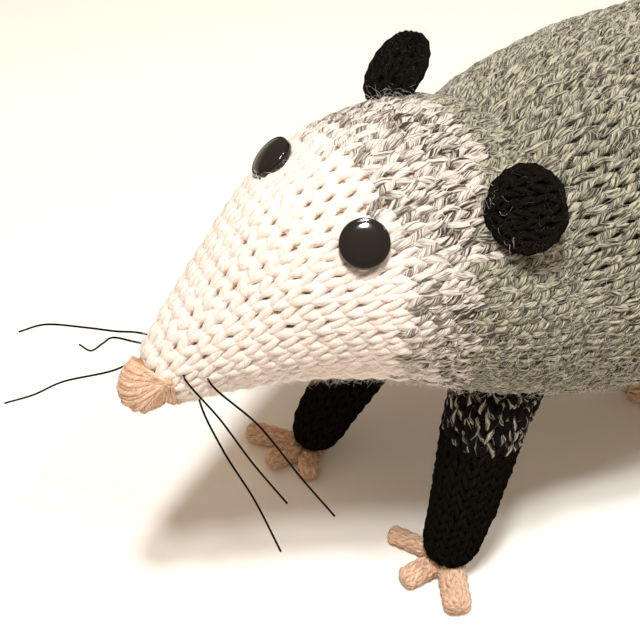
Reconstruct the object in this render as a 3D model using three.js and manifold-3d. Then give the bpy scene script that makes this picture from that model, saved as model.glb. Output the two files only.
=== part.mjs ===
// Hand-knitted stuffed opossum toy, standing on four legs with its tail curled round one hind foot.
// Millimetres, +Z up. The animal faces -Y and its own left side is +X.
// All sizes below are worked from the floor at z = 0 and the middle plane x = 0; the last lines
// move the whole toy so that the origin is under the middle of its box.
import * as THREE from 'three';
import { mergeVertices } from 'three/addons/utils/BufferGeometryUtils.js';
import Module from 'manifold-3d';

const wasm = await Module();
wasm.setup();

// Head and body: one stuffed tube. Each row is where its axis passes (y, z), how far the course of
// stitches there leans forward from upright (degrees), and the tube's radius.
const BODY = [
  { y: -69, z: 99.3, lean: 30, radius: 8.1 },
  { y: -67, z: 100.2, lean: 30, radius: 9.5 },
  { y: -58, z: 103.8, lean: 30, radius: 13.6 },
  { y: -40, z: 109.3, lean: 28, radius: 22.5 },
  { y: -20, z: 112.5, lean: 24, radius: 33.1 },
  { y: 0, z: 111.0, lean: 16, radius: 42.0 },
  { y: 20, z: 105.5, lean: 8, radius: 46.9 },
  { y: 40, z: 100.0, lean: 2, radius: 48.6 },
  { y: 60, z: 99.0, lean: 0, radius: 53.0 },
  { y: 85, z: 98.0, lean: 0, radius: 56.2 },
  { y: 115, z: 96.0, lean: 0, radius: 56.5 },
  { y: 150, z: 91.5, lean: -2, radius: 54.5 },
  { y: 185, z: 85.0, lean: -6, radius: 48.5 },
  { y: 210, z: 80.0, lean: -10, radius: 38.5 },
  { y: 226, z: 76.5, lean: -14, radius: 27.0 },
  { y: 234, z: 74.5, lean: -16, radius: 17.0 },
  { y: 238, z: 73.5, lean: -16, radius: 9.0 },
];
const CREASE = { y: 37, width: 5, depth: 2.8 };
const CUTS = [-69, -34, 36, 92, 166, 238];
const TUBE_NAMES = ['snout', 'head', 'shoulders', 'middle', 'rump'];
const TUBE_SIDES = 40;
const COURSE_STEP = 7;
const GAP = 0.3;
const FLOOR_CUT = { below: -60, wide: 1200 };

// Sewn nose, a wrapped ball end on the snout: wide is its width over its height, fullness how
// squarely it swells, raised how far its middle lies above the middle of the snout.
const NOSE = {
  radius: 7.8, wide: 0.97, depth: 9.6, raised: 1.4, tuck: 20, fullness: 0.9, rounds: 7, sides: 24,
};

// Shank buttons for eyes, each at its own station and height angle on the head. facing is the way
// the button looks, for the far eye a little askew, and seat is how deep its back lies in the wool.
const BUTTON = { radius: 6.35, bevel: 0.5, rim: 2.4, dome: 1.3, rounds: 5, sides: 28 };
const SEAT_DEPTH = 8;
const EYES = [
  { name: 'eye_left', y: -7.5, angle: 56.5, facing: [0.55, -0.35, 0.76], seat: 0.75 },
  { name: 'eye_right', y: -11, angle: 118, facing: [-0.33, -0.6, 0.73], seat: 1.2 },
];

// Flat knitted ears. facing is the way the front of the ear looks, up is from its root to its tip,
// wide and tall are its shares of the round's radius.
const EAR = { halfThick: 2.3, radius: 12.2, rounds: 5, sides: 24 };
const EARS = [
  {
    name: 'ear_left', at: [32.3, 21.2, 145.2], wide: 0.96, tall: 0.87,
    facing: [0.43, -0.47, 0.77], up: [0.54, 0.81, 0.24],
  },
  {
    name: 'ear_right', at: [-31.8, 23.0, 146.4], wide: 0.88, tall: 1.03,
    facing: [-0.1, -0.62, 0.77], up: [-0.52, 0.72, 0.46],
  },
];

// Legs: knitted tubes from the flank down to the foot. taper is how late they narrow, and from the
// share closeFrom of their length they draw in to the foot.
const LEG = {
  topRadius: 13.9, ankleRadius: 8.6, soleRadius: 5.6, taper: 1.1, closeFrom: 0.84, sides: 20, steps: 11,
};

// Feet: a low round sole with the toes set round its front, pressed a little into the floor. Each
// toe has the way it turns from straight ahead, how far it reaches and how thick it is.
const FOOT = { height: 5.6, radius: 6.3, slope: 0.6 };
const TOE = { root: 5.0, sunk: 0.5, capRings: 3, sides: 10 };
const LEGS = [
  {
    name: 'front_left',
    toes: [
      { turn: -58, reach: 22.5, radius: 3.3 },
      { turn: 0, reach: 18.8, radius: 3.9 },
      { turn: 66, reach: 21.4, radius: 4.7 },
    ],
    path: [[27.5, 27, 84], [30, 20, 66], [33.2, 13, 34], [33, 9.8, 12], [33.2, 9.3, 0]],
  },
  {
    name: 'front_right',
    toes: [
      { turn: -48, reach: 24, radius: 3.9 },
      { turn: -5, reach: 17, radius: 3.9 },
      { turn: 60, reach: 14.5, radius: 3.9 },
    ],
    path: [[-27, 42, 80], [-29, 31, 60], [-30, 11, 32], [-29, -3, 14], [-28.5, -8, 0]],
  },
  {
    name: 'hind_left',
    toes: [
      { turn: -46, reach: 18, radius: 3.7 },
      { turn: -4, reach: 17.5, radius: 3.9 },
      { turn: 38, reach: 17, radius: 4.1 },
    ],
    path: [[34, 172, 84], [39, 171, 62], [42, 168, 36], [40, 164, 12], [39.5, 163, 0]],
  },
  {
    name: 'hind_right',
    toes: [
      { turn: -50, reach: 18, radius: 4.1 },
      { turn: -6, reach: 17.5, radius: 3.9 },
      { turn: 36, reach: 17, radius: 3.7 },
    ],
    path: [[-34, 166, 84], [-39, 164, 62], [-42, 159, 36], [-40, 153, 12], [-39.5, 151.5, 0]],
  },
];

// Tail: a knitted tube that drops from the rump and curls round the left hind foot along the floor.
const TAIL = {
  path: [
    [0, 231, 77], [0, 243, 69], [4, 255, 50], [15, 264, 27], [33, 265, 9.6], [52, 252, 8.2],
    [68, 226, 7.9], [74, 196, 7.5], [71, 168, 7.1], [58, 146, 6.6], [40, 133, 6.1], [23, 124, 5.7],
    [11, 112, 5.2], [3.5, 97, 4.8],
  ],
  rootRadius: 9.0, tipRadius: 4.6, sides: 14,
};
const TAIL_CUTS = [0, 0.24, 0.43, 0.62, 0.81, 0.985];
const TAIL_STEPS = 9;

// Whiskers: single black threads, three to a side, each from its root inside the snout.
const WHISKER = { radius: 0.3, sides: 5, steps: 9 };
const WHISKERS = [
  {
    name: 'whisker_left_1',
    path: [[5, -60, 104], [10.4, -64.3, 108.6], [20, -59.3, 98.7], [30, -55.7, 90], [40, -51, 81]],
  },
  {
    name: 'whisker_left_2',
    path: [[4, -58, 101], [9.5, -60.4, 96], [19, -59, 85], [29, -55.3, 72.3], [39.5, -53.2, 60]],
  },
  {
    name: 'whisker_left_3',
    path: [[6, -54, 105], [13.8, -59, 107.7], [24, -50.5, 95.5], [34, -43.5, 80], [44, -39, 72]],
  },
  {
    name: 'whisker_right_1',
    path: [
      [-5, -60, 105], [-10.5, -67.5, 107.5], [-17, -72, 104.5],
      [-25.5, -77.5, 101], [-35, -86, 98], [-44, -92, 90],
    ],
  },
  {
    name: 'whisker_right_2',
    path: [
      [-4, -60, 103], [-10.2, -69, 105], [-16, -73, 103.5],
      [-23, -74.5, 95.5], [-30, -76.5, 87], [-37, -77.5, 83.5],
    ],
  },
  {
    name: 'whisker_right_3',
    path: [
      [-5, -60, 101], [-10.5, -68, 98], [-14.5, -75, 93],
      [-26, -87, 83.5], [-34, -94, 74], [-45, -101, 63],
    ],
  },
];

// Yarn, thread and button colours.
const LOOKS = {
  cream: { color: 0xe9e1d6, roughness: 0.95, metalness: 0 },
  grey: { color: 0x8b8a82, roughness: 0.95, metalness: 0 },
  black: { color: 0x17130f, roughness: 0.95, metalness: 0 },
  peach: { color: 0xdcae86, roughness: 0.95, metalness: 0 },
  button: { color: 0x0c0a0a, roughness: 0.08, metalness: 0 },
  thread: { color: 0x100e10, roughness: 0.6, metalness: 0 },
};
const TUBE_LOOKS = { snout: 'cream', head: 'cream', shoulders: 'grey', middle: 'grey', rump: 'grey' };

function vector(list) {
  return new THREE.Vector3(list[0], list[1], list[2]);
}

function radians(degrees) {
  return THREE.MathUtils.degToRad(degrees);
}

// Smooth value of one column of the BODY rows at y, with no overshoot between rows.
function bodyValue(y, column) {
  const last = BODY.length - 1;
  const slopes = [];
  for (let i = 0; i < last; i += 1) {
    slopes.push((BODY[i + 1][column] - BODY[i][column]) / (BODY[i + 1].y - BODY[i].y));
  }
  const tangents = BODY.map((row, i) => {
    if (i === 0) return slopes[0];
    if (i === last) return slopes[last - 1];
    if (slopes[i - 1] * slopes[i] <= 0) return 0;
    return (2 * slopes[i - 1] * slopes[i]) / (slopes[i - 1] + slopes[i]);
  });
  let i = 0;
  while (i < last - 1 && y > BODY[i + 1].y) i += 1;
  const span = BODY[i + 1].y - BODY[i].y;
  const t = (y - BODY[i].y) / span;
  const t2 = t * t;
  const t3 = t2 * t;
  return (2 * t3 - 3 * t2 + 1) * BODY[i][column] + (t3 - 2 * t2 + t) * span * tangents[i]
    + (3 * t2 - 2 * t3) * BODY[i + 1][column] + (t3 - t2) * span * tangents[i + 1];
}

// Point on the stuffed tube at station y and angle (degrees, 0 left side, 90 top), grown outward.
function skinPoint(y, angle, grow = 0) {
  const a = radians(angle);
  const dip = CREASE.depth * Math.exp(-(((y - CREASE.y) / CREASE.width) ** 2)) * (0.5 + 0.5 * Math.sin(a));
  const radius = bodyValue(y, 'radius') - dip + grow;
  const lean = radians(bodyValue(y, 'lean'));
  const rise = radius * Math.sin(a);
  return new THREE.Vector3(
    radius * Math.cos(a),
    y - Math.sin(lean) * rise,
    bodyValue(y, 'z') + Math.cos(lean) * rise,
  );
}

// Closed surface through a list of rings, each a list of points, with a flat fan on both ends.
function ringSolid(rings) {
  const sides = rings[0].length;
  const positions = [];
  for (const ring of rings) {
    for (const p of ring) positions.push(p.x, p.y, p.z);
  }
  const index = [];
  for (let r = 0; r < rings.length - 1; r += 1) {
    for (let s = 0; s < sides; s += 1) {
      const a = r * sides + s;
      const b = r * sides + ((s + 1) % sides);
      index.push(a, b, b + sides, a, b + sides, a + sides);
    }
  }
  for (const [row, flip] of [[0, true], [rings.length - 1, false]]) {
    const middle = rings[row].reduce((sum, p) => sum.add(p), new THREE.Vector3()).divideScalar(sides);
    const hub = positions.length / 3;
    positions.push(middle.x, middle.y, middle.z);
    for (let s = 0; s < sides; s += 1) {
      const a = row * sides + s;
      const b = row * sides + ((s + 1) % sides);
      if (flip) index.push(hub, b, a);
      else index.push(hub, a, b);
    }
  }
  const geometry = new THREE.BufferGeometry();
  geometry.setAttribute('position', new THREE.Float32BufferAttribute(positions, 3));
  geometry.setIndex(index);
  return geometry;
}

// Solid with outward faces from a closed geometry whose shared points are merged.
function solid(geometry) {
  const bare = geometry.index ? geometry.clone() : geometry;
  bare.deleteAttribute('normal');
  bare.deleteAttribute('uv');
  const merged = mergeVertices(bare, 1e-3);
  const vertProperties = new Float32Array(merged.attributes.position.array);
  const triVerts = new Uint32Array(merged.index.array);
  const made = new wasm.Manifold(new wasm.Mesh({ numProp: 3, vertProperties, triVerts }));
  if (made.volume() > 0) return made;
  const turned = triVerts.map((v, i) => triVerts[i - (i % 3) + ((3 - (i % 3)) % 3)]);
  return new wasm.Manifold(new wasm.Mesh({ numProp: 3, vertProperties, triVerts: turned }));
}

// Largest closed body of a solid, as a geometry.
function largest(made) {
  const pieces = made.decompose().sort((a, b) => b.volume() - a.volume());
  const mesh = pieces[0].getMesh();
  const geometry = new THREE.BufferGeometry();
  geometry.setAttribute('position', new THREE.BufferAttribute(new Float32Array(mesh.vertProperties), 3));
  geometry.setIndex(new THREE.BufferAttribute(new Uint32Array(mesh.triVerts), 1));
  return geometry;
}

function tubeStretch(from, to, grow = 0) {
  const count = Math.max(2, Math.ceil((to - from) / COURSE_STEP));
  const rings = [];
  for (let i = 0; i <= count; i += 1) {
    const y = from + ((to - from) * i) / count;
    const ring = [];
    for (let s = 0; s < TUBE_SIDES; s += 1) ring.push(skinPoint(y, (360 * s) / TUBE_SIDES, grow));
    rings.push(ring);
  }
  return solid(ringSolid(rings));
}

// Rings of changing radius along a curve, between two shares of its length.
function sweep(curve, from, to, steps, sides, radiusAt) {
  const whole = Math.round(steps / (to - from));
  const frames = curve.computeFrenetFrames(whole, false);
  const rings = [];
  for (let i = 0; i <= steps; i += 1) {
    const share = from + ((to - from) * i) / steps;
    const slot = share * whole;
    const low = Math.min(whole - 1, Math.floor(slot));
    const side = frames.normals[low].clone().lerp(frames.normals[low + 1], slot - low).normalize();
    const along = curve.getTangentAt(share);
    side.addScaledVector(along, -side.dot(along)).normalize();
    const other = along.clone().cross(side);
    const centre = curve.getPointAt(share);
    const ring = [];
    for (let s = 0; s < sides; s += 1) {
      const a = (2 * Math.PI * s) / sides;
      ring.push(centre.clone().addScaledVector(side, radiusAt(share) * Math.cos(a))
        .addScaledVector(other, radiusAt(share) * Math.sin(a)));
    }
    rings.push(ring);
  }
  return solid(ringSolid(rings));
}

// Everything between two heights.
function slab(low, high) {
  const geometry = new THREE.BoxGeometry(FLOOR_CUT.wide, FLOOR_CUT.wide, high - low);
  geometry.translate(0, 0, (low + high) / 2);
  return solid(geometry);
}

// Turns a geometry made about +Z (front) and +Y (up) to look along facing, standing along up.
function aim(geometry, at, facing, up) {
  const front = facing.clone().normalize();
  const side = up.clone().cross(front).normalize();
  const top = front.clone().cross(side);
  geometry.applyMatrix4(new THREE.Matrix4().makeBasis(side, top, front).setPosition(at));
  return geometry;
}

const floorCut = slab(FLOOR_CUT.below, 0);
const stuffed = tubeStretch(CUTS[0], CUTS[CUTS.length - 1], GAP);
const opossum = new THREE.Group();

function addNode(name, geometry, look) {
  const mesh = new THREE.Mesh(geometry, new THREE.MeshStandardMaterial(LOOKS[look]));
  mesh.name = name;
  opossum.add(mesh);
}

// Front of the snout: a profile turned about the snout's axis and leaned like its last course.
function makeNose() {
  const profile = [new THREE.Vector2(0, 0)];
  const back = Math.sin(radians(NOSE.tuck));
  for (let i = 0; i <= NOSE.rounds; i += 1) {
    const a = radians(-NOSE.tuck + ((90 + NOSE.tuck) * i) / NOSE.rounds);
    const out = i === NOSE.rounds ? 0 : NOSE.radius * Math.cos(a) ** NOSE.fullness;
    profile.push(new THREE.Vector2(out, (NOSE.depth * (back + Math.sin(a))) / (1 + back)));
  }
  const geometry = new THREE.LatheGeometry(profile, NOSE.sides);
  const lean = radians(bodyValue(CUTS[0], 'lean'));
  geometry.rotateX(Math.PI / 2);
  geometry.scale(NOSE.wide, 1, 1);
  const out = new THREE.Vector3(0, -Math.cos(lean), -Math.sin(lean));
  const up = new THREE.Vector3(0, -Math.sin(lean), Math.cos(lean));
  const face = new THREE.Vector3(0, CUTS[0], bodyValue(CUTS[0], 'z'));
  face.addScaledVector(out, GAP).addScaledVector(up, NOSE.raised);
  aim(geometry, face, out, up);
  addNode('nose', largest(solid(geometry)), 'peach');
}

// Domed button on a flat seat pressed into the head. Returns the room that the head is cut by.
function makeEye({ name, y, angle, facing, seat }) {
  const profile = [new THREE.Vector2(0, GAP), new THREE.Vector2(BUTTON.radius - BUTTON.bevel, GAP)];
  profile.push(new THREE.Vector2(BUTTON.radius, GAP + BUTTON.bevel));
  profile.push(new THREE.Vector2(BUTTON.radius, BUTTON.rim));
  for (let i = 1; i <= BUTTON.rounds; i += 1) {
    const share = i / BUTTON.rounds;
    const out = i === BUTTON.rounds ? 0 : BUTTON.radius * Math.cos((Math.PI / 2) * share);
    profile.push(new THREE.Vector2(out, BUTTON.rim + BUTTON.dome * Math.sin((Math.PI / 2) * share)));
  }
  const normal = vector(facing).normalize();
  const seatAt = skinPoint(y, angle).addScaledVector(normal, -seat);
  const upright = new THREE.Vector3(0, 0, 1);
  const button = new THREE.LatheGeometry(profile, BUTTON.sides);
  button.rotateX(Math.PI / 2);
  addNode(name, largest(solid(aim(button, seatAt, normal, upright))), 'button');
  const seatRadius = BUTTON.radius + GAP;
  const room = new THREE.CylinderGeometry(seatRadius, seatRadius, SEAT_DEPTH, BUTTON.sides);
  room.rotateX(Math.PI / 2);
  room.translate(0, 0, SEAT_DEPTH / 2);
  return solid(aim(room, seatAt, normal, upright));
}

function makeTubes() {
  const eyeRooms = EYES.map(makeEye);
  TUBE_NAMES.forEach((name, i) => {
    const from = CUTS[i] + (i === 0 ? 0 : GAP / 2);
    const to = CUTS[i + 1] - (i === TUBE_NAMES.length - 1 ? 0 : GAP / 2);
    let tube = tubeStretch(from, to);
    if (name === 'head') {
      for (const room of eyeRooms) tube = tube.subtract(room);
    }
    addNode(name, largest(tube), TUBE_LOOKS[name]);
  });
}

// A flat round with a rolled rim, its root cut to the head.
function makeEar({ name, at, facing, up, wide, tall }) {
  const thick = EAR.halfThick;
  const profile = [new THREE.Vector2(0, -thick)];
  for (let i = 0; i <= EAR.rounds; i += 1) {
    const a = radians(-90 + (180 * i) / EAR.rounds);
    profile.push(new THREE.Vector2(EAR.radius - thick + thick * Math.cos(a), thick * Math.sin(a)));
  }
  profile.push(new THREE.Vector2(0, thick));
  const geometry = new THREE.LatheGeometry(profile, EAR.sides);
  geometry.rotateX(Math.PI / 2);
  geometry.scale(wide, tall, 1);
  const ear = solid(aim(geometry, vector(at), vector(facing), vector(up)));
  addNode(name, largest(ear.subtract(stuffed)), 'black');
}

function makeLeg({ name, path, toes }) {
  const curve = new THREE.CatmullRomCurve3(path.map(vector), false, 'centripetal');
  const { topRadius, ankleRadius, soleRadius, taper, closeFrom } = LEG;
  const narrowed = (share) => topRadius + (ankleRadius - topRadius) * share ** taper;
  const drawnIn = (share) => (ankleRadius - soleRadius) * THREE.MathUtils.smoothstep(share, closeFrom, 1);
  const radiusAt = (share) => narrowed(share) - drawnIn(share);
  const tube = sweep(curve, 0, 1, LEG.steps, LEG.sides, radiusAt);
  const room = sweep(curve, 0, 1, LEG.steps, LEG.sides, (share) => radiusAt(share) + GAP);
  const belowLeg = slab(FLOOR_CUT.below, FOOT.height + GAP);
  addNode(`leg_${name}`, largest(tube.subtract(stuffed).subtract(belowLeg)), 'black');

  const heel = vector(path[path.length - 1]);
  const padTop = FOOT.radius - FOOT.slope;
  const pad = new THREE.CylinderGeometry(padTop, FOOT.radius, FOOT.height, LEG.sides);
  pad.rotateX(Math.PI / 2);
  pad.translate(heel.x, heel.y, FOOT.height / 2);
  let foot = solid(pad);
  for (const { turn, reach, radius } of toes) {
    const middle = reach - radius - TOE.root;
    const toe = new THREE.CapsuleGeometry(radius, middle, TOE.capRings, TOE.sides);
    toe.translate(0, -(TOE.root + middle / 2), 0);
    toe.rotateZ(radians(turn));
    toe.translate(heel.x, heel.y, radius - TOE.sunk);
    foot = foot.add(solid(toe));
  }
  const legRoom = room.subtract(slab(FLOOR_CUT.below, FOOT.height));
  addNode(`foot_${name}`, largest(foot.subtract(legRoom).subtract(floorCut)), 'peach');
}

function makeTail() {
  const curve = new THREE.CatmullRomCurve3(TAIL.path.map(vector), false, 'centripetal');
  const gapShare = GAP / curve.getLength();
  const radiusAt = (share) => TAIL.rootRadius + (TAIL.tipRadius - TAIL.rootRadius) * share;
  for (let i = 0; i < TAIL_CUTS.length - 1; i += 1) {
    const from = i === 0 ? 0 : TAIL_CUTS[i] + gapShare / 2;
    const to = TAIL_CUTS[i + 1] - gapShare / 2;
    const length = sweep(curve, from, to, TAIL_STEPS, TAIL.sides, radiusAt);
    addNode(`tail_${i + 1}`, largest(length.subtract(stuffed).subtract(floorCut)), 'peach');
  }
}

function makeWhisker({ name, path }) {
  const ring = new THREE.Shape();
  ring.absarc(0, 0, WHISKER.radius, 0, 2 * Math.PI);
  const thread = new THREE.ExtrudeGeometry(ring, {
    curveSegments: WHISKER.sides,
    steps: WHISKER.steps,
    bevelEnabled: false,
    extrudePath: new THREE.CatmullRomCurve3(path.map(vector)),
  });
  addNode(name, largest(solid(thread).subtract(stuffed)), 'thread');
}

makeNose();
makeTubes();
EARS.forEach(makeEar);
LEGS.forEach(makeLeg);
makeTail();
WHISKERS.forEach(makeWhisker);

const box = new THREE.Box3().setFromObject(opossum);
opossum.position.set(-(box.min.x + box.max.x) / 2, -(box.min.y + box.max.y) / 2, -box.min.z);
const toy = new THREE.Group();
toy.add(opossum);

export default toy;
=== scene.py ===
import bpy, math
import numpy as np
from mathutils import Matrix, Vector


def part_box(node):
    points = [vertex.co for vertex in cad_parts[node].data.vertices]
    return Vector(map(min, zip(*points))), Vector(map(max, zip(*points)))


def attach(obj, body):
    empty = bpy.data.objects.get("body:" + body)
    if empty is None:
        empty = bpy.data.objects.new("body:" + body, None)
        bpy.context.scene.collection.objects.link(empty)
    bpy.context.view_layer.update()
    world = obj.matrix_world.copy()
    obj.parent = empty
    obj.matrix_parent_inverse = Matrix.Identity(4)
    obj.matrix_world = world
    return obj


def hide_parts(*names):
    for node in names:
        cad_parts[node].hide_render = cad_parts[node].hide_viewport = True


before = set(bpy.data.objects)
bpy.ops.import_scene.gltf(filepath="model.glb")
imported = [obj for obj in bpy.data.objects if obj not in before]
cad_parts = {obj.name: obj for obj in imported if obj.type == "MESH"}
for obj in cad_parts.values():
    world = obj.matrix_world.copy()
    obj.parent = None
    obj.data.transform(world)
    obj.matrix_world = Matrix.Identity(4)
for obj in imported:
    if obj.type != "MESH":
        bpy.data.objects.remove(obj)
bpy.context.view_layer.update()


# The camera, as the photo was taken: close, from the toy's front left and well above it.
# The toy was measured from the floor and the middle plane of its body, in millimetres, and
# PLACE carries such a point into the model's own frame, whose origin is under its box.
MM = 0.001
MIDDLE_START = 92.15   # where the middle length of the body starts, in those measures
middle_low, middle_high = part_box("middle")
PLACE = np.array([(middle_low.x + middle_high.x) / 2, middle_low.y - MIDDLE_START * MM, 0.0])


def placed(points_mm):
    return np.asarray(points_mm, float) * MM + PLACE


def new_object(name, data):
    made = bpy.data.objects.new(name, data)
    bpy.context.scene.collection.objects.link(made)
    return made


IMAGE_SIDE = 640
FOCAL_PIXELS = 1300
CAMERA_AZIMUTH = 61.2
CAMERA_HEIGHT_ANGLE = 45.8
CAMERA_ROLL = 0.4
CAMERA_DISTANCE = 361
LOOKED_AT = (0, -18.9, 97.3)

camera_data = bpy.data.cameras.new("camera")
camera_data.sensor_width = 36
camera_data.lens = FOCAL_PIXELS / IMAGE_SIDE * camera_data.sensor_width
camera_data.clip_start = 0.01
camera = new_object("camera", camera_data)
azimuth, height_angle = math.radians(CAMERA_AZIMUTH), math.radians(CAMERA_HEIGHT_ANGLE)
back = Vector((math.sin(azimuth) * math.cos(height_angle),
               -math.cos(azimuth) * math.cos(height_angle), math.sin(height_angle)))
camera.rotation_mode = "QUATERNION"
camera.rotation_quaternion = ((-back).to_track_quat("-Z", "Y")
                              @ Matrix.Rotation(math.radians(-CAMERA_ROLL), 4, "Z").to_quaternion())
camera.location = Vector(placed(LOOKED_AT)) + back * CAMERA_DISTANCE * MM
bpy.context.scene.camera = camera


# The floor and light: a white table top in a bright room. The toy's shadow has a dark middle
# and paler edges, so two lamps of like strength hang over its left shoulder, one nearer than the
# other, and a weaker one stands further round.
def linear(hex_colour):
    """An sRGB hex colour as linear numbers for a shader."""
    parts = [int(hex_colour[i:i + 2], 16) / 255 for i in (1, 3, 5)]
    return [*(p / 12.92 if p <= 0.04045 else ((p + 0.055) / 1.055) ** 2.4 for p in parts), 1.0]


def add_node(tree, kind, links=(), **settings):
    """Adds a node to a tree. A setting is a property or an input; links are (input, output)."""
    node = tree.nodes.new(kind)
    for name, value in settings.items():
        if name.startswith("in_"):
            key = int(name[3:]) if name[3:].isdigit() else name[3:].replace("_", " ")
            node.inputs[key].default_value = value
        else:
            setattr(node, name, value)
    for where, output in links:
        tree.links.new(node.inputs[where], output)
    return node


def new_material(name):
    material = bpy.data.materials.new(name)
    material.use_nodes = True
    material.node_tree.nodes.clear()
    return material


def cover(tree, links=(), **settings):
    """Ends a material in one surface."""
    surface = add_node(tree, "ShaderNodeBsdfPrincipled", links, **settings)
    add_node(tree, "ShaderNodeOutputMaterial", [("Surface", surface.outputs[0])])


def plain(name, colour, roughness, **settings):
    """A material of one colour."""
    material = new_material(name)
    cover(material.node_tree, in_Base_Color=linear(colour), in_Roughness=roughness, **settings)
    return material


# white laminate with a dull finish, so bright that only the shadows show on it
table_top = plain("white_laminate", "#fbfaf4", 0.6)
FLOOR_HALF = 3.0
floor_mesh = bpy.data.meshes.new("floor")
floor_corners = [(x * FLOOR_HALF, y * FLOOR_HALF, 0) for x, y in ((-1, -1), (1, -1), (1, 1), (-1, 1))]
floor_mesh.from_pydata(floor_corners, [], [(0, 1, 2, 3)])
floor_mesh.materials.append(table_top)
floor = new_object("floor", floor_mesh)

ROOM_COLOUR = (1.0, 0.76, 0.58, 1)
WALLS_DIM, CEILING_BRIGHT = 0.22, 0.62      # the room's strength down at its walls and straight up
world = bpy.data.worlds.new("soft_room")
world.use_nodes = True
room = world.node_tree
way_out = add_node(room, "ShaderNodeTexCoord")
height = add_node(room, "ShaderNodeSeparateXYZ", [(0, way_out.outputs["Generated"])])
brightness = add_node(room, "ShaderNodeMapRange", [("Value", height.outputs["Z"])],
                      in_To_Min=WALLS_DIM, in_To_Max=CEILING_BRIGHT)
room.nodes["Background"].inputs["Color"].default_value = ROOM_COLOUR
room.links.new(room.nodes["Background"].inputs["Strength"], brightness.outputs["Result"])
bpy.context.scene.world = world
LIGHTS = [
    # name, place, side length, watts
    ("near lamp", (0.115, -0.18, 0.8), 0.07, 3.4),
    ("high lamp", (0.252, -0.3, 1.1), 0.12, 5.1),
    ("third lamp", (0.36, 0.32, 1.1), 0.12, 2.4),
]
LIT_POINT = Vector((0, 0, 0.05))
for name, place, side, watts in LIGHTS:
    lamp = bpy.data.lights.new(name, "AREA")
    lamp.shape = "DISK"
    lamp.size = side
    lamp.energy = watts
    holder = new_object(name, lamp)
    holder.location = place
    holder.rotation_mode = "QUATERNION"
    holder.rotation_quaternion = (LIT_POINT - Vector(place)).to_track_quat("-Z", "Y")
bpy.context.scene.view_settings.view_transform = "Standard"


# The knitted skin of the head and body: worsted wool in stocking stitch, worked in the round
# from the nose, stuffed firmly with loose fibre. Each round of knitting is one yarn that loops
# through the round before it; under the loops lies the stuffed core that shows in the holes.
BODY = np.array([
    # y, z, lean of the round in degrees, radius
    (-69, 99.3, 30, 8.1), (-67, 100.2, 30, 9.5), (-58, 103.8, 30, 13.6), (-40, 109.3, 28, 22.5),
    (-20, 112.5, 24, 33.1), (0, 111.0, 16, 42.0), (20, 105.5, 8, 46.9), (40, 100.0, 2, 48.6),
    (60, 99.0, 0, 53.0), (85, 98.0, 0, 56.2), (115, 96.0, 0, 56.5), (150, 91.5, -2, 54.5),
    (185, 85.0, -6, 48.5), (210, 80.0, -10, 38.5), (226, 76.5, -14, 27.0), (234, 74.5, -16, 17.0),
    (238, 73.5, -16, 9.0),
])
CREASE_Y, CREASE_WIDTH, CREASE_DEPTH = 37, 5, 2.8   # the nape, drawn in where head meets body


def curved(t, here, leaving, there, arriving):
    """From here to there as t goes from 0 to 1, with the given slopes."""
    return ((2 * t**3 - 3 * t**2 + 1) * here + (t**3 - 2 * t**2 + t) * leaving
            + (3 * t**2 - 2 * t**3) * there + (t**3 - t**2) * arriving)


def smooth_column(y, column):
    """One column of BODY at y, smooth and without overshoot."""
    ys, values = BODY[:, 0], BODY[:, column]
    slope = np.diff(values) / np.diff(ys)
    tangent = np.concatenate([slope[:1], np.zeros(len(ys) - 2), slope[-1:]])
    product = slope[:-1] * slope[1:]
    same_way = product > 0
    tangent[1:-1][same_way] = 2 * product[same_way] / (slope[:-1] + slope[1:])[same_way]
    i = np.clip(np.searchsorted(ys, y) - 1, 0, len(ys) - 2)
    span = ys[i + 1] - ys[i]
    return curved((y - ys[i]) / span, values[i], span * tangent[i], values[i + 1], span * tangent[i + 1])


def body_skin(y, turn):
    """Points of the body's outside at station y and turn (degrees, 0 its left, 90 its top)."""
    a = np.radians(turn)
    dip = CREASE_DEPTH * np.exp(-((y - CREASE_Y) / CREASE_WIDTH) ** 2) * (0.5 + 0.5 * np.sin(a))
    radius = smooth_column(y, 3) - dip
    lean = np.radians(smooth_column(y, 2))
    rise = radius * np.sin(a)
    return np.stack([radius * np.cos(a), y - np.sin(lean) * rise,
                     smooth_column(y, 1) + np.cos(lean) * rise], -1)


def outward(skin, along, turn, step=0.4):
    """Unit normals of a tube-like skin, pointing away from its stuffing."""
    ahead = skin(along + step, turn) - skin(along - step, turn)
    round_ = skin(along, turn + 2 * step) - skin(along, turn - 2 * step)
    normal = np.cross(round_, ahead)
    normal /= np.linalg.norm(normal, axis=-1, keepdims=True)
    across = skin(along, turn) - skin(along, turn + 180)
    return normal * np.sign((normal * across).sum(axis=-1, keepdims=True))


STITCH_WIDTH = 4.8           # one stitch across, in millimetres
ROUND_HEIGHT = 4.75          # one round along the fabric
YARN_RADIUS = 1.22
LOOP_LEAN = 0.28             # how far the two legs of a loop slant, in stitch widths
LOOP_REACH = 0.88            # a loop's head and feet above and below its round, in rounds
LOOP_DEPTH = 0.5             # legs stand this far out from the middle of the fabric
LOOP_FULL, LOOP_PINCH = 1.04, 0.5     # their thickness in yarn radii, and how much less at heads and feet
LOOP_UNEVEN = (0.02, 0.025, 0.03, 0.02, 0.07)   # how far loops stray: lean, aside, reach, up, out
LOOP_POINTS = 12
YARN_SIDES = 6
YARN_IN_STITCH = 3.4         # the yarn in one stitch, in stitch widths
YARN_MOVES_ON = 7.3          # millimetres of it between rounds, so no two rounds twist alike
OPEN_LAP = 1e6               # the lap of a strand that doesn't close, in millimetres
MAP_EDGE, MAP_SHARE = 0.005, 0.98     # where the bake map starts, and how much of it is used
PATCH_WIDE, PATCH_TALL = 0.85, 0.9    # a stitch's patch of it, in stitches and rounds
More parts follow.
